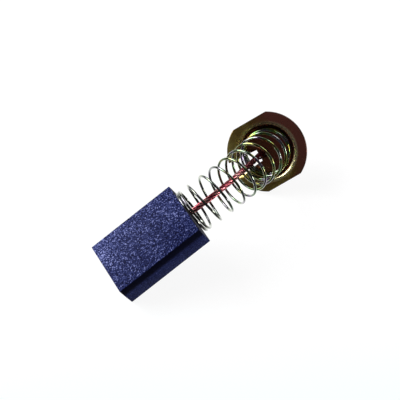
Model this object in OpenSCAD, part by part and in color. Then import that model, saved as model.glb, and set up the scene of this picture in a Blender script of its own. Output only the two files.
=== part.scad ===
// Carbon motor brush with a bent coil spring, a copper pigtail and a pressed cap.
// It lies free on a flat surface, on the block's front lower edge and on the back of the cup.
// Millimetres. +Z is up, +X runs from the block towards the cap.

/* [Block] */
// Length of the carbon block
block_length = 17.2; // [12:0.1:24]
// Width of the carbon block
block_width = 11; // [9:0.1:14]
// Thickness of the carbon block
block_thickness = 4.8; // [4:0.1:7]
// Bevel on one long edge of the upper face
edge_bevel = 0.65; // [0.3:0.05:1.2]
// Small break on all the other long edges
edge_break = 0.12; // [0.05:0.01:0.3]

/* [Rope and its hole] */
// Diameter of the copper rope
rope_diameter = 1.0; // [0.6:0.05:1.4]
// Diameter of the hole for the tamped rope
hole_diameter = 2.4; // [1.8:0.1:3.2]
// Depth of that hole
hole_depth = 4.2; // [3:0.1:6]
// How far the rope keeps straight on leaving the block
rope_exit = 0.9; // [0.5:0.1:2]
// How firmly the rope holds its direction at each end
rope_stiffness = 7; // [5:0.1:9]
// Lean of the rope where it meets the cup's floor
rope_tilt = 20; // [10:1:25]

/* [Spring] */
// Wire diameter
wire_diameter = 0.45; // [0.3:0.01:0.6]
// Coil diameter at the middle of the wire
coil_diameter = 8.1; // [7.6:0.05:8.6]
// Open turns
open_turns = 9.9; // [7:0.1:12]
// Closed turns at the block
closed_turns_block = 1.65; // [1:0.1:2.5]
// Closed turns in the cup
closed_turns_cup = 1.5; // [1:0.1:2.5]
// Air between two closed turns
closed_gap = 0.06; // [0.03:0.01:0.15]
// Angle that the free spring bends through
bend_angle = 84; // [60:1:95]
// Radius of the bend along the coil's middle line
bend_radius = 16.5; // [14:0.1:20]
// Turn of the bend's plane about the block's long axis
bend_plane = 34; // [0:1:45]
// How far the middle of the bend bows out of that plane
side_bow = 0.27; // [0:0.01:0.5]
// Lean of the open coils
coil_lean = 5.7; // [0:0.1:8]
// Side of the coil that leans towards the cap
coil_lean_side = 46; // [0:1:90]
// Length over which the coils turn from closed to open and back
coil_fade = 4; // [3:0.5:6]

/* [Cap] */
// Flange diameter
flange_diameter = 14.5; // [12.5:0.1:17]
// Distance across the flange's two flats
across_flats = 12.8; // [11.6:0.1:14.5]
// Flange thickness
flange_thickness = 0.8; // [0.6:0.05:1.2]
// Wall and floor thickness of the cup
cup_wall = 0.6; // [0.4:0.05:0.9]
// Inner diameter of the cup
cup_bore = 9.6; // [9.4:0.1:10.4]
// Inner depth of the cup below the flange's face
cup_depth = 3.0; // [2.4:0.1:4.5]
// Radius of the rolled edge at the cup's mouth
mouth_radius = 0.55; // [0.3:0.05:0.7]
// Radius of the outer corner at the cup's floor
floor_radius = 0.7; // [0.4:0.05:1]
// Distance of the slot's inner end from the cup's middle
slot_end = 1.9; // [1.2:0.1:2.6]
// Slot width at its inner end
slot_inner_width = 2.2; // [1.8:0.1:2.8]
// Slot width at the flange's rim
slot_outer_width = 3.4; // [2.8:0.1:4.2]
// Radius of the slot's corners at the rim
slot_corner = 0.8; // [0.4:0.1:1]
// Turn of the cap about its own axis
cap_roll = -8; // [-15:0.5:10]
// Radius of the weld that holds the rope
weld_radius = 0.95; // [0.8:0.05:1.2]
// Height of that weld
weld_height = 0.7; // [0.5:0.05:1]

/* [Hidden] */
$fn = 96;

wire_sides = 8;
steps_per_turn = 20;
rope_sides = 8;
rope_rings = 30;

// ---- the middle line of the spring, in the block's own axes:
// the seat's middle is the origin, +X leaves the block, +Z is the normal of the large upper face
arc_length = bend_radius * bend_angle * PI / 180;
coil_radius = coil_diameter / 2;
bend_toward = [0, sin(bend_plane), -cos(bend_plane)];
bend_across = cross([1, 0, 0], bend_toward);
function bend_at(s) = min(max(s, 0), arc_length) / bend_radius * 180 / PI;
function turn_dir(a) = cos(a) * [1, 0, 0] + sin(a) * bend_toward;
function turn_in(a) = -sin(a) * [1, 0, 0] + cos(a) * bend_toward;
function line_dir(s) = turn_dir(bend_at(s));
function line_in(s) = turn_in(bend_at(s));
function bow(u) = -side_bow * sin(180 * min(max(u, 0), 1)) * bend_across;
function line_point(s) = let (a = bend_at(s))
    bend_radius * (sin(a) * [1, 0, 0] + (1 - cos(a)) * bend_toward) + (s - bend_at(s) * bend_radius * PI / 180) * line_dir(s)
    + bow(s / arc_length);

// ---- the spring's wire
closed_pitch = wire_diameter + closed_gap;
total_turns = closed_turns_block + open_turns + closed_turns_cup;
wire_start = wire_diameter / 2;
wire_end = arc_length + cup_depth - wire_diameter / 2;
open_start = wire_start + closed_turns_block * closed_pitch;
open_end = wire_end - closed_turns_cup * closed_pitch;
open_pitch = (open_end - open_start) / open_turns;
function wire_s(t) =
    t < closed_turns_block ? wire_start + t * closed_pitch :
    t > closed_turns_block + open_turns ? open_end + (t - closed_turns_block - open_turns) * closed_pitch :
    open_start + (t - closed_turns_block) * open_pitch;
function smooth(u) = let (v = min(max(u, 0), 1)) v * v * (3 - 2 * v);
// the closed turns lie flat on the block, and the open ones take up the bend and the lean
function opened(s) = smooth((s - open_start) / coil_fade);
function lean_at(s) = opened(s) * smooth((open_end - s) / coil_fade) * coil_radius * tan(coil_lean);
function wire_ring(t) = let (s = wire_s(t), a = 360 * t, turned = bend_at(s) * opened(s), dir = turn_dir(turned),
        out = cos(a) * turn_in(turned) + sin(a) * bend_across,
        mid = line_point(s) + coil_radius * out + lean_at(s) * cos(a - coil_lean_side) * dir)
    [for (k = [0 : wire_sides - 1]) let (b = 360 * k / wire_sides)
        mid + wire_diameter / 2 * (cos(b) * out + sin(b) * dir)];

// ---- the cap's frame: its face's middle, its axis out of the mouth and the side that the slot opens to
cap_axis = -line_dir(arc_length);
cap_face = line_point(arc_length);
cap_side = cos(cap_roll) * line_in(arc_length) + sin(cap_roll) * cross(cap_axis, line_in(arc_length));
cap_cross = cross(cap_axis, cap_side);
cup_outer = cup_bore / 2 + cup_wall;
function cap_point(x, y, z) = cap_face + x * cap_side + y * cap_cross + z * cap_axis;

// ---- the rope: out of the hole, along the inside of the bend and into the weld beside the slot
weld_x = slot_end - weld_radius;
rope_foot = rope_diameter / 2 * sin(rope_tilt) + 0.03;
rope_end = cap_point(weld_x, 0, -cup_depth + rope_foot);
rope_end_dir = -(sin(rope_tilt) * cap_side + cos(rope_tilt) * cap_axis);
rope_lead = weld_height + 0.6;
rope_p0 = [rope_exit, 0, 0];
rope_p3 = rope_end - rope_lead * rope_end_dir;
rope_p1 = rope_p0 + rope_stiffness * [1, 0, 0];
rope_p2 = rope_p3 - rope_stiffness * rope_end_dir;
function bezier(t) = pow(1 - t, 3) * rope_p0 + 3 * pow(1 - t, 2) * t * rope_p1 + 3 * (1 - t) * t * t * rope_p2 + t * t * t * rope_p3
    + bow(t);
rope_start = [-hole_depth + 0.4, 0, 0];
rope_path = concat([rope_start, [rope_start[0] / 2, 0, 0], [0, 0, 0]],
    [for (k = [0 : rope_rings]) bezier(k / rope_rings)],
    [rope_end]);

// ---- how it lies: pitched about Y until the cup's back edge meets the floor that the front edge lies on
front_edge = [-block_length, 0, -block_thickness / 2];
cup_back = cap_point(0, 0, -cup_depth - cup_wall);
function floor_up(a) = [sin(a), 0, cos(a)];
foot_radius = cup_outer - floor_radius;
function disc_low(c, r, up) = c * up - r * norm(cross(cap_axis, up));
function cup_low(up) = disc_low(cup_back + floor_radius * cap_axis, foot_radius, up) - floor_radius;
function cup_gap(a) = cup_low(floor_up(a)) - front_edge * floor_up(a);
function find_pitch(lo, hi, n) = n == 0 ? (lo + hi) / 2 :
    let (m = (lo + hi) / 2) cup_gap(m) > 0 ? find_pitch(lo, m, n - 1) : find_pitch(m, hi, n - 1);
pitch = find_pitch(-10, 80, 30);

// ---- the middle of the whole outline, seen from above
along = [cos(pitch), 0, -sin(pitch)];
rim = [for (a = [0 : 3 : 357], z = [0, -flange_thickness])
    cap_point(flange_diameter / 2 * cos(a),
        min(max(flange_diameter / 2 * sin(a), -across_flats / 2), across_flats / 2), z)];
corners = [for (x = [0, -block_length], y = [-1, 1], z = [-1, 1]) [x, y * block_width / 2, z * block_thickness / 2]];
reach = concat(rim, corners);
reach_x = [for (p = reach) p * along];
reach_y = [for (p = reach) p[1]];
middle_x = (min(reach_x) + max(reach_x)) / 2;
middle_y = (min(reach_y) + max(reach_y)) / 2;

module lie_down() {
    translate([-middle_x, -middle_y, -front_edge * floor_up(pitch)])
        rotate([0, -pitch, 0]) children();
}

// local +Z out of the cup's mouth, local +X to the slot
module at_cap() {
    multmatrix([
        [cap_side[0], cap_cross[0], cap_axis[0], cap_face[0]],
        [cap_side[1], cap_cross[1], cap_axis[1], cap_face[1]],
        [cap_side[2], cap_cross[2], cap_axis[2], cap_face[2]],
        [0, 0, 0, 1]]) children();
}

// rings of points joined into one closed skin
module sweep(rings, sides) {
    n = len(rings);
    polyhedron(
        points = [for (r = rings) each r],
        faces = concat(
            [[for (k = [0 : sides - 1]) k]],
            [for (i = [0 : n - 2], k = [0 : sides - 1])
                [i * sides + k, (i + 1) * sides + k, (i + 1) * sides + (k + 1) % sides, i * sides + (k + 1) % sides]],
            [[for (k = [sides - 1 : -1 : 0]) (n - 1) * sides + k]]),
        convexity = 20);
}

module block_section() {
    w = block_width / 2;
    t = block_thickness / 2;
    e = edge_break;
    polygon([[-w + edge_bevel, t], [w - e, t], [w, t - e], [w, -t + e], [w - e, -t],
        [-w + e, -t], [-w, -t + e], [-w, t - edge_bevel]]);
}

module carbon_block() {
    color([0.16, 0.17, 0.24])
    lie_down()
    difference() {
        // the section's x is the block's width and its y is the thickness
        rotate([90, 0, -90]) mirror([1, 0, 0]) linear_extrude(height = block_length) block_section();
        translate([-hole_depth, 0, 0]) rotate([0, 90, 0]) cylinder(d = hole_diameter, h = hole_depth + 1);
    }
}

module tamping_plug() {
    color([0.45, 0.26, 0.2])
    lie_down()
    difference() {
        translate([-hole_depth, 0, 0]) rotate([0, 90, 0]) cylinder(d = hole_diameter, h = hole_depth);
        translate([-hole_depth + 0.4, 0, 0]) rotate([0, 90, 0]) cylinder(d = rope_diameter, h = hole_depth);
    }
}

function rope_dir(i) = let (n = len(rope_path),
        d = i == 0 ? rope_path[1] - rope_path[0] : i == n - 1 ? rope_path[n - 1] - rope_path[n - 2] :
            (rope_path[i + 1] - rope_path[i]) / norm(rope_path[i + 1] - rope_path[i])
            + (rope_path[i] - rope_path[i - 1]) / norm(rope_path[i] - rope_path[i - 1])) d / norm(d);

module pigtail() {
    color([0.72, 0.35, 0.3])
    lie_down()
    sweep([for (i = [0 : len(rope_path) - 1]) let (d = rope_dir(i),
            a = cross(d, bend_across) / norm(cross(d, bend_across)), b = cross(d, a))
        [for (k = [0 : rope_sides - 1]) let (q = 360 * k / rope_sides)
            rope_path[i] + rope_diameter / 2 * (cos(q) * a + sin(q) * b)]], rope_sides);
}

module spring() {
    color([0.62, 0.64, 0.45])
    lie_down()
    sweep([for (i = [0 : ceil(total_turns * steps_per_turn)]) wire_ring(min(i / steps_per_turn, total_turns))],
        wire_sides);
}

module slot_outline() {
    reach_out = flange_diameter / 2 + 1;
    taper = (slot_outer_width - slot_inner_width) / 2 / (flange_diameter / 2 - slot_end);
    outer = slot_outer_width / 2 + taper;
    polygon([[slot_end, -slot_inner_width / 2], [reach_out, -outer], [reach_out, outer], [slot_end, slot_inner_width / 2]]);
    // the rounded corners where the slot leaves the rim
    c = flange_diameter / 2 - slot_corner;
    for (m = [-1, 1]) difference() {
        translate([c - 0.1, m > 0 ? 0 : -slot_outer_width / 2 - slot_corner]) square([slot_corner + 1.1, slot_outer_width / 2 + slot_corner]);
        translate([c - 0.1, m * (slot_outer_width / 2 + slot_corner)]) circle(r = slot_corner);
    }
}

module cup_body() {
    r = cup_bore / 2;
    q = mouth_radius;
    f = floor_radius;
    d = cup_depth;
    low = d + cup_wall;
    under = 0.35;
    edge = 0.15;
    rotate_extrude() polygon(concat(
        [[0, -d], [r - 0.3, -d], [r, -d + 0.3]],
        [for (a = [180 : -15 : 90]) [r + q + q * cos(a), -q + q * sin(a)]],
        [[flange_diameter / 2 - edge, 0], [flange_diameter / 2, -edge],
            [flange_diameter / 2, -flange_thickness + edge], [flange_diameter / 2 - edge, -flange_thickness]],
        [for (a = [90 : 15 : 180]) [cup_outer + under + under * cos(a), -flange_thickness - under + under * sin(a)]],
        [for (a = [0 : -15 : -90]) [cup_outer - f + f * cos(a), -low + f + f * sin(a)]],
        [[0, -low]]));
}

module cap() {
    color([0.32, 0.26, 0.18])
    lie_down()
    at_cap()
    difference() {
        intersection() {
            cup_body();
            translate([-flange_diameter, -across_flats / 2, -2 * cup_depth])
                cube([2 * flange_diameter, across_flats, 3 * cup_depth]);
        }
        translate([0, 0, -cup_depth - cup_wall - 1]) linear_extrude(height = cup_depth + cup_wall + 2) slot_outline();
    }
}

module weld() {
    ball = (weld_radius * weld_radius + weld_height * weld_height) / (2 * weld_height);
    color([0.25, 0.18, 0.17])
    lie_down()
    at_cap()
    difference() {
        intersection() {
            translate([weld_x, 0, -cup_depth + weld_height - ball]) sphere(r = ball);
            translate([weld_x - 2, -2, -cup_depth]) cube([4, 4, 2]);
        }
        translate([weld_x, 0, -cup_depth + rope_foot]) rotate([0, rope_tilt, 0]) cylinder(d = rope_diameter, h = 4);
    }
}

carbon_block();
tamping_plug();
pigtail();
spring();
cap();
weld();
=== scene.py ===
# %% [markdown]
# # A carbon motor brush
# The part is a pressed carbon block, a coil spring that has taken a bend, a copper
# pigtail inside it and a stamped cap. The CAD model gives every size. Here each piece
# gets the surface it has in the hand. The frame comes first, and its reach is kept so
# that the end of the lesson can show that nothing grew out of it.

# %% The frame
import math

import bmesh
import bpy
from mathutils import Matrix, Vector, noise


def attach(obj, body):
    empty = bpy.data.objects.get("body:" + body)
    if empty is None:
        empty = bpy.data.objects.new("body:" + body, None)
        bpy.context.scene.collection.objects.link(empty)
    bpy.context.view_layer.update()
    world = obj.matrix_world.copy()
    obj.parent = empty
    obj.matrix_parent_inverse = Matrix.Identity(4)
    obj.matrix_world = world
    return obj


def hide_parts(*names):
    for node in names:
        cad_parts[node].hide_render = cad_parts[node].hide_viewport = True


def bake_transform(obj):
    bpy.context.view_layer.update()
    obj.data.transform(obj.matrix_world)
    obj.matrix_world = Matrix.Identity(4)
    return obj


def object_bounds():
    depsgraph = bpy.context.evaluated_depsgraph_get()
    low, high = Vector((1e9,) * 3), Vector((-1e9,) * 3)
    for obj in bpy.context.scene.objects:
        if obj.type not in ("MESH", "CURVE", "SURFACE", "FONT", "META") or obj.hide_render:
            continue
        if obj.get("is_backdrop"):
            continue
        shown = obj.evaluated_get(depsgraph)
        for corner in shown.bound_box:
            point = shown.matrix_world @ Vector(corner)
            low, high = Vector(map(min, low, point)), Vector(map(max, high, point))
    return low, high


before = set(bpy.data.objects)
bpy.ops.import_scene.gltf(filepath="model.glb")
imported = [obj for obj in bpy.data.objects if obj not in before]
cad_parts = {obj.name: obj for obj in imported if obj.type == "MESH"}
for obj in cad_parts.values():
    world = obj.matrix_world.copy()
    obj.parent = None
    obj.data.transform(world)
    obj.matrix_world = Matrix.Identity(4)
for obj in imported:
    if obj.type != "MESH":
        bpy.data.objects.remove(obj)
reach_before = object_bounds()
print("nodes", sorted(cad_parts))

# %% [markdown]
# Sizes are in millimetres, and one matrix takes them to the frame in metres. The brush
# is easiest to think of from its block: X leaves the block towards the spring, Z is the
# normal of the large upper face, and the origin is the middle of the spring's seat.

# %% Places
MM = 0.001
PITCH = math.radians(26.362)
SEAT = Vector((-5.23542, -4.48978, 9.78798))
to_row = (
    Matrix.Scale(MM, 4)
    @ Matrix.Translation(SEAT)
    @ Matrix.Rotation(-PITCH, 4, "Y")
)


def columns(x, y, z, origin):
    """The matrix whose axes are x, y and z, placed at origin."""
    m = Matrix((x, y, z)).transposed().to_4x4()
    m.translation = origin
    return m


print("seat in the frame", to_row @ Vector())

# %% [markdown]
# The spring's middle line starts straight out of the block and bends in one plane,
# which is turned about the block's long axis. Every piece on it takes its place from
# these three small functions.

# %% The bent line
BEND_ANGLE = math.radians(84)
BEND_RADIUS = 16.5
BEND_PLANE = math.radians(34)
SIDE_BOW = 0.27
ARC = BEND_ANGLE * BEND_RADIUS
X_AXIS = Vector((1, 0, 0))
BEND_IN = Vector((0, math.sin(BEND_PLANE), -math.cos(BEND_PLANE)))
BEND_ACROSS = X_AXIS.cross(BEND_IN)


def bend_at(s):
    return min(max(s, 0), ARC) / BEND_RADIUS


def turn_dir(a):
    return math.cos(a) * X_AXIS + math.sin(a) * BEND_IN


def turn_in(a):
    return -math.sin(a) * X_AXIS + math.cos(a) * BEND_IN


def bow(u):
    return -SIDE_BOW * math.sin(math.pi * min(max(u, 0), 1)) * BEND_ACROSS


def line_point(s):
    a = bend_at(s)
    on_arc = BEND_RADIUS * (math.sin(a) * X_AXIS + (1 - math.cos(a)) * BEND_IN)
    return on_arc + (s - a * BEND_RADIUS) * turn_dir(a) + bow(s / ARC)


CAP_ROLL = math.radians(-8)
cap_axis = -turn_dir(BEND_ANGLE)
cap_inward = turn_in(BEND_ANGLE)
cap_side = math.cos(CAP_ROLL) * cap_inward + math.sin(CAP_ROLL) * cap_axis.cross(cap_inward)
to_cap = columns(cap_side, cap_axis.cross(cap_side), cap_axis, line_point(ARC))
print("length along the bend %.1f mm" % ARC)

# %% [markdown]
# Every finished piece is one mesh with its place in its vertices. This helper brings a
# bmesh into the frame, marks the edges that should stay crisp and makes the object.

# %% From bmesh to piece
CRISP = math.radians(38)


def make_piece(name, bm, place=to_row, material=None):
    bmesh.ops.transform(bm, matrix=place, verts=bm.verts)
    for face in bm.faces:
        face.smooth = True
    for edge in bm.edges:
        edge.smooth = len(edge.link_faces) == 2 and edge.calc_face_angle(0) < CRISP
    mesh = bpy.data.meshes.new(name)
    bm.to_mesh(mesh)
    bm.free()
    piece = bpy.data.objects.new(name, mesh)
    bpy.context.scene.collection.objects.link(piece)
    if material:
        mesh.materials.append(material)
    print(name, len(mesh.vertices), "points")
    return piece


def cut(piece, cutter, name):
    """Takes the cutter out of the piece with a Boolean and keeps the plain mesh."""
    step = piece.modifiers.new("cut", "BOOLEAN")
    step.object = cutter
    step.operation = "DIFFERENCE"
    step.solver = "EXACT"
    bpy.context.view_layer.update()
    mesh = bpy.data.meshes.new_from_object(
        piece.evaluated_get(bpy.context.evaluated_depsgraph_get())
    )
    mesh.name = name
    piece.modifiers.clear()
    piece.data = mesh
    bpy.data.objects.remove(cutter)


# %% [markdown]
# Colours are written as a paint chart would give them, 0 to 255, and turned into
# Blender's linear values. Small helpers keep the node trees short enough to read.

# %% Node helpers


def tone(r, g, b):
    def linear(c):
        c = c / 255
        return c / 12.92 if c <= 0.04045 else ((c + 0.055) / 1.055) ** 2.4

    return (linear(r), linear(g), linear(b), 1.0)


class Tree:
    """A node tree with short ways to add a node and to join sockets."""

    def __init__(self, tree):
        self.tree = tree

    def add(self, kind, values=None, **settings):
        node = self.tree.nodes.new(kind)
        for key, value in settings.items():
            setattr(node, key, value)
        for key, value in (values or {}).items():
            if isinstance(value, bpy.types.NodeSocket):
                self.tree.links.new(value, node.inputs[key])
            else:
                node.inputs[key].default_value = value
        return node

    def math(self, operation, *values):
        return self.add("ShaderNodeMath", dict(enumerate(values)), operation=operation).outputs[0]

    def spread(self, value, low, high, to_low=0.0, to_high=1.0):
        node = self.add("ShaderNodeMapRange", {"Value": value, "From Min": low, "From Max": high, "To Min": to_low, "To Max": to_high})
        return node.outputs["Result"]

    def mix(self, amount, a, b, blend="MIX"):
        node = self.add("ShaderNodeMix", data_type="RGBA", blend_type=blend)
        for socket, value in ((node.inputs[0], amount), (node.inputs[6], a), (node.inputs[7], b)):
            if isinstance(value, bpy.types.NodeSocket):
                self.tree.links.new(value, socket)
            else:
                socket.default_value = value
        return node.outputs[2]

    def ramp(self, value, stops):
        node = self.add("ShaderNodeValToRGB", {"Fac": value})
        first, last = node.color_ramp.elements
        first.position, first.color = stops[0]
        last.position, last.color = stops[-1]
        for position, color in stops[1:-1]:
            node.color_ramp.elements.new(position).color = color
        return node.outputs["Color"]

    def noise(self, coordinates, scale, detail=4.0, rough=0.55, distortion=0.0):
        return self.add("ShaderNodeTexNoise", {"Vector": coordinates, "Scale": scale, "Detail": detail, "Roughness": rough, "Distortion": distortion}).outputs["Fac"]

    def bump(self, height, strength, distance, normal=None):
        values = {"Height": height, "Strength": strength, "Distance": distance}
        if normal:
            values["Normal"] = normal
        return self.add("ShaderNodeBump", values).outputs["Normal"]


def new_material(name):
    material = bpy.data.materials.new(name)
    material.use_nodes = True
    t = Tree(material.node_tree)
    shader = t.tree.nodes["Principled BSDF"]
    here = t.add("ShaderNodeTexCoord").outputs["Object"]
    return material, t, shader, here


def feed(t, shader, **sockets):
    for key, value in sockets.items():
        socket = shader.inputs[key.replace("_", " ")]
        if isinstance(value, bpy.types.NodeSocket):
            t.tree.links.new(value, socket)
        else:
            socket.default_value = value


# %% [markdown]
# ## Carbon
# Pressed and ground graphite is not an even black. It is mottled with pale flakes and
# dark pores a quarter of a millimetre across, and it has a faint blue sheen.

# %% Carbon material
PALE_PATCH_MIDDLE = to_row @ Vector((-15.6, 3.6, 2.4))
BLOCK = (17.2, 11.0, 4.8)
BEVEL_ACROSS = 0.15
BEVEL_DOWN = 1.7
block_way = to_row.to_3x3().normalized()
SIDE_WAY = block_way @ Vector((0, -1, 0))
TOP_WAY = block_way @ Vector((0, 0, 1))
END_WAY = block_way @ Vector((1, 0, 0))
near_edge = to_row @ Vector((-5, -BLOCK[1] / 2, BLOCK[2] / 2))
SIDE_REACH = near_edge.dot(SIDE_WAY)
TOP_REACH = near_edge.dot(TOP_WAY)
carbon, t, shader, here = new_material("pressed_carbon")
flake = t.noise(here, 4000, 1.5, 0.5)
cluster = t.noise(here, 1300, 2, 0.5)
cloud = t.noise(here, 240, 2, 0.5)
mottle = t.math("MULTIPLY_ADD", t.math("SUBTRACT", cluster, 0.5), 0.2, flake)
mottle = t.math("MULTIPLY_ADD", t.math("SUBTRACT", cloud, 0.5), 0.2, mottle)
# The mottle is a little paler round one spot near the block's front end.
from_pale_patch = t.add("ShaderNodeVectorMath", {0: here, 1: PALE_PATCH_MIDDLE}, operation="DISTANCE").outputs["Value"]
mottle = t.math("ADD", mottle, t.spread(from_pale_patch, 0.001, 0.0065, 0.07, 0.0))
facet = t.add("ShaderNodeNewGeometry").outputs["True Normal"]
facing_up = t.add("ShaderNodeVectorMath", {0: facet, 1: TOP_WAY}, operation="DOT_PRODUCT").outputs["Value"]
facing_end = t.add("ShaderNodeVectorMath", {0: facet, 1: END_WAY}, operation="DOT_PRODUCT").outputs["Value"]
pressed = t.spread(t.math("ABSOLUTE", facing_up), 0.75, 0.95, 0.55, 1.0)
mottle = t.math("MULTIPLY_ADD", t.math("SUBTRACT", mottle, 0.5), pressed, 0.5)
carbon_colour = t.ramp(mottle, [
    (0.34, tone(0, 2, 36)),
    (0.48, tone(14, 22, 68)),
    (0.60, tone(46, 55, 106)),
    (0.76, tone(130, 137, 190)),
])
to_side = t.add("ShaderNodeVectorMath", {0: here, 1: SIDE_WAY}, operation="DOT_PRODUCT").outputs["Value"]
to_top = t.add("ShaderNodeVectorMath", {0: here, 1: TOP_WAY}, operation="DOT_PRODUCT").outputs["Value"]
# Painted shade: a dark band along the bevelled long edge and the top of the side face below it, standing in for the
# shade that edge lies in.
painted_band_shade = t.math("MULTIPLY", t.spread(to_side, SIDE_REACH - 0.0002, SIDE_REACH - 0.00015), t.spread(to_top, TOP_REACH - 0.0021, TOP_REACH - 0.0014, 0.0, 0.96))
# Painted shade: the end faces are darkened, standing in for the shade they lie in.
painted_end_shade = t.spread(t.math("ABSOLUTE", facing_end), 0.75, 0.95, 0.0, 0.7)
carbon_colour = t.mix(t.math("MAXIMUM", painted_band_shade, painted_end_shade), carbon_colour, tone(0, 1, 24))
feed(t, shader, Base_Color=carbon_colour, Roughness=t.spread(mottle, 0.35, 0.65, 0.6, 0.45), Specular_IOR_Level=0.05, Normal=t.bump(mottle, 0.3, 0.00006))
print("carbon ready")

# %% [markdown]
# ## Passivated wire and cap
# The steel is plated with zinc and dipped in a yellow passivating bath. The film is so
# thin that its colour wanders between straw, green, lilac and plain grey.

# %% Iridescent film


def film_group():
    group = bpy.data.node_groups.new("passivated film", "ShaderNodeTree")
    face = group.interface
    face.new_socket("Place", in_out="INPUT", socket_type="NodeSocketVector")
    for name, value in (("Scale", 700.0), ("Warmth", 0.5)):
        face.new_socket(name, in_out="INPUT", socket_type="NodeSocketFloat").default_value = value
    face.new_socket("Colour", in_out="OUTPUT", socket_type="NodeSocketColor")
    face.new_socket("Thickness", in_out="OUTPUT", socket_type="NodeSocketFloat")
    g = Tree(group)
    ins = g.add("NodeGroupInput").outputs
    outs = g.add("NodeGroupOutput").inputs
    wander = g.noise(ins["Place"], ins["Scale"], 3, 0.55, 0.4)
    shift = g.math("ADD", wander, g.math("MULTIPLY", g.math("SUBTRACT", ins["Warmth"], 0.5), 0.3))
    colour = g.ramp(shift, [
        (0.30, tone(176, 150, 200)),
        (0.42, tone(196, 198, 192)),
        (0.50, tone(140, 202, 130)),
        (0.57, tone(212, 214, 92)),
        (0.68, tone(160, 112, 74)),
    ])
    group.links.new(colour, outs["Colour"])
    group.links.new(wander, outs["Thickness"])
    return group


film = film_group()


def add_film(t, here, scale, warmth):
    node = t.add("ShaderNodeGroup", node_tree=film)
    t.tree.links.new(here, node.inputs["Place"])
    node.inputs["Scale"].default_value = scale
    node.inputs["Warmth"].default_value = warmth
    return node.outputs["Colour"], node.outputs["Thickness"]


# %% Wire and cap materials
wire_metal, t, shader, here = new_material("passivated_wire")
colour, thickness = add_film(t, here, 420, 0.45)
wrap = t.add("ShaderNodeAttribute", attribute_name="wrap").outputs["Vector"]
travelled = t.add("ShaderNodeSeparateXYZ", {0: wrap}).outputs["Z"]
colour = t.mix(t.spread(travelled, 60, 240, 0.85, 0.0), colour, tone(150, 149, 156))
# Painted reflection: the wire is painted dark where it faces the eye and near-white at its grazing edges, standing in
# for its dark reflected cores and bright edge reflections.
facing = t.add("ShaderNodeLayerWeight", {"Blend": 0.5}).outputs["Facing"]
colour = t.mix(t.spread(facing, 0.15, 0.6, 0.65, 0.0), colour, tone(30, 30, 28))
colour = t.mix(t.spread(facing, 0.55, 0.85, 0.0, 0.75), colour, tone(240, 244, 232))
scratch = t.noise(here, 4200, 3, 0.6)
feed(t, shader, Base_Color=colour, Metallic=1.0, Roughness=t.spread(scratch, 0.3, 0.7, 0.03, 0.09), Normal=t.bump(scratch, 0.1, 0.00001))

cap_middle = to_row @ (to_cap @ Vector())
cap_normal = (to_row.to_3x3() @ cap_axis).normalized()
CAP_ACROSS = ((to_row @ to_cap).to_3x3() @ Vector((0, 1, 0))).normalized()
ROLL_HIGHLIGHT_SIDE = Vector((0.47, -0.79, -0.38)).normalized()
OLIVE_TO_RED_WAY = Vector((0.830, 0.261, 0.493)).normalized()
cap_metal, t, shader, here = new_material("passivated_cap")
middle = t.add("ShaderNodeVectorMath", {0: here, 1: cap_middle}, operation="SUBTRACT").outputs["Vector"]
# The flange's colour runs from light olive on one side to darker red-brown on the other.
olive_to_red = t.add("ShaderNodeVectorMath", {0: middle, 1: OLIVE_TO_RED_WAY}, operation="DOT_PRODUCT").outputs["Value"]
blush = t.math("MULTIPLY_ADD", t.noise(here, 160, 2, 0.5, 0.6), 0.4, 0.3)
blush = t.math("ADD", blush, t.spread(olive_to_red, -0.006, 0.006, -0.12, 0.12))
bronze = t.ramp(blush, [(0.38, tone(200, 182, 104)), (0.48, tone(134, 104, 52)), (0.58, tone(150, 88, 78))])
scratch = t.noise(here, 1500, 5, 0.65)
bronze = t.mix(t.spread(scratch, 0.3, 0.75, 0.0, 0.35), bronze, tone(90, 60, 44))
height = t.add("ShaderNodeVectorMath", {0: middle, 1: cap_normal}, operation="DOT_PRODUCT").outputs["Value"]
far = t.add("ShaderNodeVectorMath", {0: middle}, operation="LENGTH").outputs["Value"]
radius = t.math("SQRT", t.math("SUBTRACT", t.math("MULTIPLY", far, far), t.math("MULTIPLY", height, height)))
on_roll = t.math("MULTIPLY", t.spread(radius, 0.0047, 0.0049), t.spread(radius, 0.0052, 0.0057, 1.0, 0.0))
on_roll = t.math("MULTIPLY", on_roll, t.spread(height, -0.0012, -0.0005))
across = t.add("ShaderNodeVectorMath", {0: middle, 1: ROLL_HIGHLIGHT_SIDE}, operation="DOT_PRODUCT").outputs["Value"]
# Painted shade and painted reflection: the inside of the cup is darkened towards red-brown, standing in for its shade
# and the copper it mirrors.
painted_cup_shade = t.math("MULTIPLY", t.spread(radius, 0.0050, 0.0046), t.spread(height, -0.0008, -0.0015))
bronze = t.mix(t.math("MULTIPLY", painted_cup_shade, 0.8), bronze, tone(112, 56, 50))
# Painted highlight: the rolled mouth is painted pale gold, strongest on one side, standing in for the lamp's glint on
# it.
painted_roll_highlight = t.math("MULTIPLY", on_roll, t.spread(across, -0.004, 0.004, 0.2, 0.95))
bronze = t.mix(painted_roll_highlight, bronze, tone(248, 238, 192))
# Painted shade: the faces of the slot's cut are darkened, standing in for the shade in the slot.
painted_slot_shade = t.add("ShaderNodeAttribute", attribute_name="painted_slot_shade").outputs["Fac"]
across_flats = t.add("ShaderNodeVectorMath", {0: middle, 1: CAP_ACROSS}, operation="DOT_PRODUCT").outputs["Value"]
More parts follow.
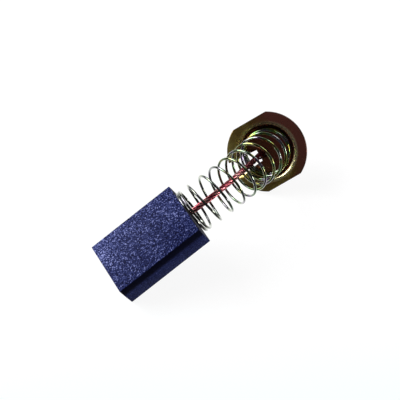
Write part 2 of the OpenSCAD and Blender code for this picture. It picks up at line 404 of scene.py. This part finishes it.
# Painted shade: the flange's outer rim and the edges of its flats are darkened, standing in for the shade on them.
rim = t.math("MAXIMUM", t.spread(radius, 0.00708, 0.00716), t.spread(t.math("ABSOLUTE", across_flats), 0.0063, 0.00638))
bronze = t.mix(t.math("MAXIMUM", painted_slot_shade, t.math("MULTIPLY", rim, 0.8)), bronze, tone(66, 48, 34))
polish = t.math("MULTIPLY_ADD", on_roll, -0.06, t.spread(scratch, 0.3, 0.7, 0.24, 0.36))
feed(t, shader, Base_Color=bronze, Metallic=1.0, Roughness=polish, Normal=t.bump(scratch, 0.15, 0.00003))
print("film ready")

# %% [markdown]
# ## Copper
# The rope is laid from bare strands, and each strand is itself a bundle of fine wires.
# The bundle is drawn by an attribute that runs round and along each strand, which the
# sweep writes as it goes.

# %% Copper materials
copper, t, shader, here = new_material("copper_rope")
wrap = t.add("ShaderNodeAttribute", attribute_name="wrap").outputs["Vector"]
parts = t.add("ShaderNodeSeparateXYZ", {0: wrap}).outputs
around = t.math("ARCTAN2", parts["Y"], parts["X"])
twist = t.math("ADD", t.math("MULTIPLY", around, 5.0), t.math("MULTIPLY", parts["Z"], -9.0))
grooves = t.math("SINE", twist)
stain = t.noise(here, 900, 3, 0.6)
copper_colour = t.ramp(stain, [(0.32, tone(172, 58, 78)), (0.5, tone(224, 112, 124)), (0.66, tone(255, 196, 192))])
crown = t.add("ShaderNodeAttribute", attribute_name="crown").outputs["Fac"]
# Painted shade: each strand is darkened where it faces the rope's middle, standing in for the shade in the gaps between
# strands.
copper_colour = t.mix(t.spread(crown, 0.98, 0.84, 0.0, 0.92), copper_colour, tone(48, 6, 20))
# Painted shade: the rope's last length, inside the cup, is darkened, standing in for the cup's shade.
copper_colour = t.mix(t.spread(parts["Z"], 15.5, 21, 0.0, 0.75), copper_colour, tone(58, 14, 22))
feed(t, shader, Base_Color=copper_colour, Metallic=0.9, Roughness=t.spread(stain, 0.3, 0.7, 0.34, 0.2), Normal=t.bump(grooves, 0.3, 0.00001))

powder, t, shader, here = new_material("tamped_powder")
grain = t.noise(here, 5200, 3, 0.7)
feed(t, shader, Base_Color=t.ramp(grain, [(0.35, tone(52, 30, 28)), (0.55, tone(120, 66, 50)), (0.7, tone(176, 104, 84))]), Metallic=0.6, Roughness=0.6, Normal=t.bump(grain, 0.6, 0.0001))

solder, t, shader, here = new_material("weld_metal")
grain = t.noise(here, 2200, 4, 0.6)
feed(t, shader, Base_Color=t.ramp(grain, [(0.35, tone(26, 16, 22)), (0.6, tone(78, 44, 46)), (0.75, tone(128, 84, 72))]), Metallic=0.85, Roughness=t.spread(grain, 0.3, 0.7, 0.5, 0.3), Normal=t.bump(grain, 0.5, 0.00008))
print("copper ready")

# %% [markdown]
# ## The block
# A box, one long edge with a clear bevel and all the others just broken. A cylinder
# leaves the hole for the tamped rope in the face under the spring.

# %% Block
EDGE_BREAK = 0.1
HOLE_RADIUS = 1.2
HOLE_DEPTH = 4.2


def bevel(bm, edges, width, segments):
    bmesh.ops.bevel(bm, geom=edges, offset=width, offset_type="OFFSET", segments=segments, profile=0.5, affect="EDGES", material=-1, clamp_overlap=True)


bm = bmesh.new()
bmesh.ops.create_cube(bm, size=1, matrix=Matrix.Diagonal((*BLOCK, 1)))
steep = Vector((0, -BEVEL_DOWN, BEVEL_ACROSS)).normalized()
sliced = bmesh.ops.bisect_plane(
    bm,
    geom=bm.verts[:] + bm.edges[:] + bm.faces[:],
    plane_co=(0, -BLOCK[1] / 2, BLOCK[2] / 2 - BEVEL_DOWN),
    plane_no=steep,
    clear_outer=True,
)
bmesh.ops.edgenet_fill(bm, edges=[g for g in sliced["geom_cut"] if isinstance(g, bmesh.types.BMEdge)])
bmesh.ops.recalc_face_normals(bm, faces=bm.faces)
bevel(bm, list(bm.edges), EDGE_BREAK, 2)
bmesh.ops.translate(bm, vec=(-BLOCK[0] / 2, 0, 0), verts=bm.verts)
block = make_piece("pressed_block", bm, material=carbon)

bm = bmesh.new()
bmesh.ops.create_cone(bm, cap_ends=True, segments=64, radius1=HOLE_RADIUS, radius2=HOLE_RADIUS, depth=2 * HOLE_DEPTH, matrix=Matrix.Rotation(math.pi / 2, 4, "Y"))
cut(block, make_piece("hole", bm), "pressed_block")
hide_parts("carbon_block")
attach(block, "block")

# %% [markdown]
# ## Sweeping a wire
# One ring is extruded from station to station. Each new ring is the last one carried by
# the step between two frames, so the wire keeps its section through any bend.

# %% Sweep


def stations(point, steps):
    """A frame for each step along a path, carried on without twist."""
    out = []
    for i in range(steps + 1):
        t = i / steps
        step = 0.25 / steps
        ahead = (point(min(t + step, 1)) - point(max(t - step, 0))).normalized()
        side = out[-1].col[0].xyz if out else ahead.orthogonal()
        side = (side - ahead * side.dot(ahead)).normalized()
        out.append(columns(side, ahead.cross(side), ahead, point(t)))
    return out


def sweep(bm, frames, radius, sides):
    wrap = bm.verts.layers.float_vector.get("wrap") or bm.verts.layers.float_vector.new("wrap")
    ring = bmesh.ops.create_circle(bm, segments=sides, radius=radius, matrix=frames[0])["verts"]
    edges = list({e for v in ring for e in v.link_edges})
    ends = [edges]
    travelled = 0.0
    for verts, f in [(ring, frames[0])]:
        back = f.inverted()
        for v in verts:
            local = back @ v.co
            v[wrap] = (local.x / radius, local.y / radius, 0)
    for last, this in zip(frames, frames[1:]):
        travelled += (this.translation - last.translation).length
        grown = bmesh.ops.extrude_edge_only(bm, edges=edges)["geom"]
        verts = [g for g in grown if isinstance(g, bmesh.types.BMVert)]
        edges = [g for g in grown if isinstance(g, bmesh.types.BMEdge) and all(v in verts for v in g.verts)]
        bmesh.ops.transform(bm, matrix=this @ last.inverted(), verts=verts)
        back = this.inverted()
        for v in verts:
            local = back @ v.co
            v[wrap] = (local.x / radius, local.y / radius, travelled)
    ends.append(edges)
    for loop in ends:
        bmesh.ops.contextual_create(bm, geom=loop)


# %% [markdown]
# ## The spring
# A little over one and a half turns lie closed at each end, and about ten open turns
# between them. The wire's place along the bent line grows with the turns.

# %% Spring
WIRE = 0.45
COIL_RADIUS = 4.05
CLOSED_PITCH = 0.51
CLOSED_BLOCK = 1.65
CLOSED_CUP = 1.5
OPEN_TURNS = 9.9
LEAN = math.tan(math.radians(5.7))
LEAN_SIDE = math.radians(46)
FADE = 4.0
CUP_DEPTH = 3.0
TURNS = CLOSED_BLOCK + OPEN_TURNS + CLOSED_CUP
open_from = WIRE / 2 + CLOSED_BLOCK * CLOSED_PITCH
open_to = ARC + CUP_DEPTH - WIRE / 2 - CLOSED_CUP * CLOSED_PITCH


def wire_place(turn):
    if turn < CLOSED_BLOCK:
        return WIRE / 2 + turn * CLOSED_PITCH
    if turn > CLOSED_BLOCK + OPEN_TURNS:
        return open_to + (turn - CLOSED_BLOCK - OPEN_TURNS) * CLOSED_PITCH
    return open_from + (turn - CLOSED_BLOCK) / OPEN_TURNS * (open_to - open_from)


def smooth(u):
    u = min(max(u, 0), 1)
    return u * u * (3 - 2 * u)


def wire_point(t):
    turn = t * TURNS
    s = wire_place(turn)
    a = 2 * math.pi * turn
    opened = smooth((s - open_from) / FADE)
    turned = bend_at(s) * opened
    out = math.cos(a) * turn_in(turned) + math.sin(a) * BEND_ACROSS
    lean = LEAN * opened * smooth((open_to - s) / FADE) * math.cos(a - LEAN_SIDE)
    return line_point(s) + COIL_RADIUS * (out + lean * turn_dir(turned))


STEPS_PER_TURN = 36
bm = bmesh.new()
sweep(bm, stations(wire_point, round(TURNS * STEPS_PER_TURN)), WIRE / 2, 12)
bmesh.ops.recalc_face_normals(bm, faces=bm.faces)
spring = make_piece("bent_spring", bm, material=wire_metal)
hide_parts("spring")

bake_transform(spring)

# %% [markdown]
# ## The pigtail
# Six strands laid round a straight core. Each outer strand's middle is a helix about the rope's
# own line, so the strands catch the light one after the other.

# %% Rope
ROPE = 1.0
STRANDS = 6
LAID = 1.04 * ROPE
STRAND = LAID / 2 / (1 + 1 / math.sin(math.pi / STRANDS))
LAY = 9.0
ROPE_START = Vector((-3.8, 0, 0))
WELD_X = 0.95
ROPE_TILT = math.radians(20)
ROPE_FOOT = ROPE / 2 * math.sin(ROPE_TILT) + 0.03
STIFF = 7.0
rope_end = to_cap @ Vector((WELD_X, 0, -CUP_DEPTH + ROPE_FOOT))
end_dir = -(math.sin(ROPE_TILT) * cap_side + math.cos(ROPE_TILT) * cap_axis)
p0 = Vector((0.9, 0, 0))
p3 = rope_end - 1.3 * end_dir
p1 = p0 + STIFF * X_AXIS
p2 = p3 - STIFF * end_dir


def bezier(u):
    w = 1 - u
    return w**3 * p0 + 3 * w * w * u * p1 + 3 * w * u * u * p2 + u**3 * p3 + bow(u)


curve = [ROPE_START, ROPE_START / 2, Vector()] + [bezier(i / 60) for i in range(61)] + [rope_end]
lengths = [0.0]
for a, b in zip(curve, curve[1:]):
    lengths.append(lengths[-1] + (b - a).length)
ROPE_LENGTH = lengths[-1]


def rope_line(t):
    s = min(max(t, 0), 1) * ROPE_LENGTH
    for i in range(len(curve) - 1):
        if s <= lengths[i + 1]:
            break
    return curve[i].lerp(curve[i + 1], (s - lengths[i]) / (lengths[i + 1] - lengths[i]))


ROPE_STEPS = 150
STRAND_SIDES = 16
rope_frames = stations(rope_line, ROPE_STEPS)
bm = bmesh.new()
for strand in range(STRANDS + 1):
    frames = []
    off_centre = LAID / 2 - STRAND if strand < STRANDS else 0
    for i, f in enumerate(rope_frames):
        a = 2 * math.pi * (strand / STRANDS + i / ROPE_STEPS * ROPE_LENGTH / LAY)
        out = math.cos(a) * f.col[0].xyz + math.sin(a) * f.col[1].xyz
        splay = 1 + 0.3 * smooth((i / ROPE_STEPS - 0.8) / 0.12)
        frames.append(f.translation + off_centre * splay * out)
    path = lambda t, pts=frames: pts[min(int(t * ROPE_STEPS), ROPE_STEPS - 1)].lerp(pts[min(int(t * ROPE_STEPS), ROPE_STEPS - 1) + 1], t * ROPE_STEPS - min(int(t * ROPE_STEPS), ROPE_STEPS - 1))
    sweep(bm, stations(path, ROPE_STEPS), STRAND, STRAND_SIDES)
# Distance from the rope's middle, from which the material paints the shade in the gaps.
crown = bm.verts.layers.float.new("crown")
bm.verts.ensure_lookup_table()
for i, v in enumerate(bm.verts):
    station = rope_frames[i // STRAND_SIDES % (ROPE_STEPS + 1)]
    v[crown] = (v.co - station.translation).length / (LAID / 2)
bmesh.ops.recalc_face_normals(bm, faces=bm.faces)
rope = make_piece("laid_rope", bm, material=copper)
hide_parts("pigtail")
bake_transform(rope)
print("rope length %.1f mm" % ROPE_LENGTH)

# %% [markdown]
# ## The cap
# A drawn cup with a flange: a profile spun once round, two flats cut off the flange, and
# a slot that lets the spring's bend and the tool in from the side.

# %% Cap
FLANGE_RADIUS = 7.22
FLAT = 6.4
FLANGE = 0.8
CUP_RADIUS = 4.8
WALL = 0.6
MOUTH = 0.55
FOOT = 0.7
SLOT_END = 1.9
SLOT_INNER = 1.1
SLOT_OUTER = 1.55
SLOT_CORNER = 0.5


def turned(cx, cz, r, start, end, steps):
    """Points on a quarter of a circle in the profile's plane."""
    angles = [math.radians(start + (end - start) * i / steps) for i in range(steps + 1)]
    return [(cx + r * math.cos(a), cz + r * math.sin(a)) for a in angles]


low = CUP_DEPTH + WALL
outer = CUP_RADIUS + WALL
profile = (
    [(0, -CUP_DEPTH)]
    + turned(CUP_RADIUS - 0.3, -CUP_DEPTH + 0.3, 0.3, -90, 0, 4)
    + turned(CUP_RADIUS + MOUTH, -MOUTH, MOUTH, 180, 90, 8)
    + turned(FLANGE_RADIUS - 0.15, -0.15, 0.15, 90, 0, 4)
    + turned(FLANGE_RADIUS - 0.15, -FLANGE + 0.15, 0.15, 0, -90, 4)
    + turned(outer + 0.35, -FLANGE - 0.35, 0.35, 90, 180, 5)
    + turned(outer - FOOT, -low + FOOT, FOOT, 0, -90, 8)
    + [(0, -low)]
)
bm = bmesh.new()
points = [bm.verts.new((x, 0, z)) for x, z in profile]
line = [bm.edges.new(pair) for pair in zip(points, points[1:])]
bmesh.ops.spin(bm, geom=points + line, cent=(0, 0, 0), axis=(0, 0, 1), angle=2 * math.pi, steps=120, use_merge=True)
bmesh.ops.remove_doubles(bm, verts=bm.verts, dist=1e-5)
bmesh.ops.recalc_face_normals(bm, faces=bm.faces)
for way in (1, -1):
    sliced = bmesh.ops.bisect_plane(bm, geom=bm.verts[:] + bm.edges[:] + bm.faces[:], plane_co=(0, way * FLAT, 0), plane_no=(0, way, 0), clear_outer=True)
    rim = [g for g in sliced["geom_cut"] if isinstance(g, bmesh.types.BMEdge)]
    bmesh.ops.edgenet_fill(bm, edges=rim)
bmesh.ops.recalc_face_normals(bm, faces=bm.faces)
cap = make_piece("drawn_cap", bm, place=to_row @ to_cap, material=cap_metal)

taper = (SLOT_OUTER - SLOT_INNER) / (FLANGE_RADIUS - SLOT_CORNER - SLOT_END)
reach = FLANGE_RADIUS + 1
outline = [(SLOT_END, -SLOT_INNER)]
corner_x = FLANGE_RADIUS - SLOT_CORNER
outline += [(corner_x + SLOT_CORNER * math.sin(math.radians(a)), -(SLOT_OUTER + SLOT_CORNER) + SLOT_CORNER * math.cos(math.radians(a))) for a in range(0, 91, 10)]
outline += [(reach, -(SLOT_OUTER + SLOT_CORNER))]
outline = outline + [(x, -y) for x, y in reversed(outline)]
bm = bmesh.new()
face = bm.faces.new([bm.verts.new((x, y, -low - 1)) for x, y in outline])
grown = bmesh.ops.extrude_face_region(bm, geom=[face])["geom"]
bmesh.ops.translate(bm, vec=(0, 0, low + 2), verts=[g for g in grown if isinstance(g, bmesh.types.BMVert)])
bmesh.ops.recalc_face_normals(bm, faces=bm.faces)
cut(cap, make_piece("slot", bm, place=to_row @ to_cap), "drawn_cap")

from_row = (to_row @ to_cap).inverted()
# Marks the faces of the slot's cut, where the material paints shade.
painted_slot_shade = cap.data.attributes.new("painted_slot_shade", "FLOAT", "FACE")
for face, mark in zip(cap.data.polygons, painted_slot_shade.data):
    middle = from_row @ face.center
    half = SLOT_INNER + taper * (middle.x - SLOT_END)
    mark.value = float(middle.x > SLOT_END - 0.01 and abs(middle.y) < half + 0.02)
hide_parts("cap")
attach(cap, "cap")

# %% [markdown]
# ## The weld
# The rope ends in a small burnt nugget on the cup's floor. A sphere is squashed and then
# roughened with a little noise.

# %% Weld
WELD_RADIUS = 0.95
WELD_HEIGHT = 0.7
bm = bmesh.new()
bmesh.ops.create_icosphere(bm, subdivisions=5, radius=1)
for v in bm.verts:
    v.co *= 0.9 + 0.14 * noise.noise(v.co * 2.1)
bmesh.ops.scale(bm, vec=(WELD_RADIUS, WELD_RADIUS, WELD_HEIGHT), verts=bm.verts)
bmesh.ops.bisect_plane(bm, geom=bm.verts[:] + bm.edges[:] + bm.faces[:], plane_co=(0, 0, 0), plane_no=(0, 0, -1), clear_outer=True)
bmesh.ops.holes_fill(bm, edges=[e for e in bm.edges if e.is_boundary])
bmesh.ops.translate(bm, vec=(WELD_X, 0, -CUP_DEPTH), verts=bm.verts)
weld = make_piece("weld_nugget", bm, place=to_row @ to_cap, material=solder)
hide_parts("weld")
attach(weld, "cap")

# %% [markdown]
# ## The tamped plug
# The copper powder that holds the rope in the block stays as the CAD node, with its own
# grainy finish.

# %% Plug
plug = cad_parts["tamping_plug"]
plug.data.materials.clear()
plug.data.materials.append(powder)

# %% [markdown]
# ## Stage
# The brush lies on a white table. For the camera and for mirror reflections the table is
# simply white; for all other light it is a plain diffuse sheet, so the brush still
# stands on a soft shadow.

# %% Stage
OPEN_FRONT = Vector((-0.29059, -0.55098, 0.78229)).normalized()
table, t, shader, here = new_material("white_table")
path = t.add("ShaderNodeLightPath").outputs
seen = t.math("MAXIMUM", path["Is Camera Ray"], path["Is Glossy Ray"])
seen = t.math("MAXIMUM", seen, path["Is Transmission Ray"])
feed(t, shader, Base_Color=tone(238, 238, 240), Roughness=0.9)
incoming = t.add("ShaderNodeNewGeometry").outputs["Incoming"]
away = t.add("ShaderNodeVectorMath", {0: incoming, 1: OPEN_FRONT}, operation="DOT_PRODUCT").outputs["Value"]
mirrored = t.spread(away, 0.3, 0.75, 0.03, 1.0)
level = t.math("MAXIMUM", mirrored, t.math("MULTIPLY", path["Is Camera Ray"], 1.07))
here = t.add("ShaderNodeTexCoord").outputs["Object"]
near = t.add("ShaderNodeVectorMath", {0: here, 1: (0.4665, 0.8845, 0)}, operation="DOT_PRODUCT").outputs["Value"]
cool = t.mix(t.spread(near, -0.018, -0.042), (1, 1, 1, 1), (0.90, 0.985, 1, 1))
glow = t.add("ShaderNodeEmission", {"Color": cool, "Strength": level})
blend = t.add("ShaderNodeMixShader", {0: t.math("MULTIPLY", seen, 0.85), 1: shader.outputs[0], 2: glow.outputs[0]})
t.tree.links.new(blend.outputs[0], t.tree.nodes["Material Output"].inputs["Surface"])
bm = bmesh.new()
bmesh.ops.create_grid(bm, x_segments=1, y_segments=1, size=1.5)
floor = make_piece("table", bm, place=Matrix.Identity(4), material=table)
floor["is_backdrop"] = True

# %% [markdown]
# The world is white to the camera. To mirrors it is bright on the far side and dark
# above the camera, as in a tent whose front is open.

# %% World
world = bpy.data.worlds.new("studio")
bpy.context.scene.world = world
world.use_nodes = True
t = Tree(world.node_tree)
background = t.tree.nodes["Background"]
path = t.add("ShaderNodeLightPath").outputs
view = t.add("ShaderNodeTexCoord").outputs["Generated"]
facing = t.add("ShaderNodeVectorMath", {0: view, 1: OPEN_FRONT}, operation="DOT_PRODUCT").outputs["Value"]


def grey(level):
    return (level, level, level, 1)


tent = t.ramp(t.spread(facing, -1, 1), [
    (0.12, grey(1.0)), (0.35, grey(0.03)), (0.88, grey(0.03)), (0.94, grey(0.12)), (1.0, grey(0.12)),
])
mirror = t.math("MAXIMUM", path["Is Glossy Ray"], path["Is Transmission Ray"])
colour = t.mix(mirror, grey(0.12), tent)
colour = t.mix(path["Is Camera Ray"], colour, (1, 1, 1, 1))
t.tree.links.new(colour, background.inputs["Color"])

# %% Lamps


def softbox(name, place, size, power, mirrored=True):
    lamp = bpy.data.lights.new(name, "AREA")
    lamp.shape = "RECTANGLE"
    lamp.size, lamp.size_y = size
    lamp.energy = power
    holder = bpy.data.objects.new(name, lamp)
    holder.visible_glossy = mirrored
    holder.location = place
    holder.rotation_euler = (Vector((0, 0, 0.008)) - Vector(place)).to_track_quat("-Z", "Y").to_euler()
    bpy.context.scene.collection.objects.link(holder)


softbox("far_box", (-0.3, 0.33, 0.32), (0.5, 0.34), 5.0)
softbox("window", (-0.34, 0.36, 0.33), (0.06, 0.06), 0.4)
softbox("right_box", (0.42, 0.2, 0.2), (0.2, 0.2), 0.5)
softbox("front_low", (0.45, -0.27, 0.03), (0.3, 0.1), 1.7)

# %% [markdown]
# ## Camera
# A long lens from the front left and above, so the block runs from the lower left into
# the spring and the cup looks into the lens.

# %% Camera
camera_data = bpy.data.cameras.new("camera")
camera_data.lens = 156.6
camera_data.sensor_width = 36
camera_data.clip_start = 0.01
camera = bpy.data.objects.new("camera", camera_data)
camera.matrix_world = columns(
    Vector((0.87876, -0.47717, -0.00965)),
    Vector((0.3786, 0.68464, 0.62284)),
    Vector((-0.29059, -0.55098, 0.78229)),
    Vector((-89.73641, -168.63399, 245.31027)) * MM,
)
bpy.context.scene.collection.objects.link(camera)
bpy.context.scene.camera = camera
bpy.context.scene.view_settings.view_transform = "Standard"

# %% [markdown]
# The reach before and after, so that it shows whether a piece left the CAD outline.

# %% Finish
reach_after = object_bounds()


def plain(value):
    if isinstance(value, dict):
        return {k: plain(v) for k, v in value.items()}
    if isinstance(value, (list, tuple, Vector)):
        return [plain(v) for v in value]
    return round(float(value), 6)


plain(reach_before)
plain(reach_after)
print("reach", plain(reach_before), plain(reach_after))
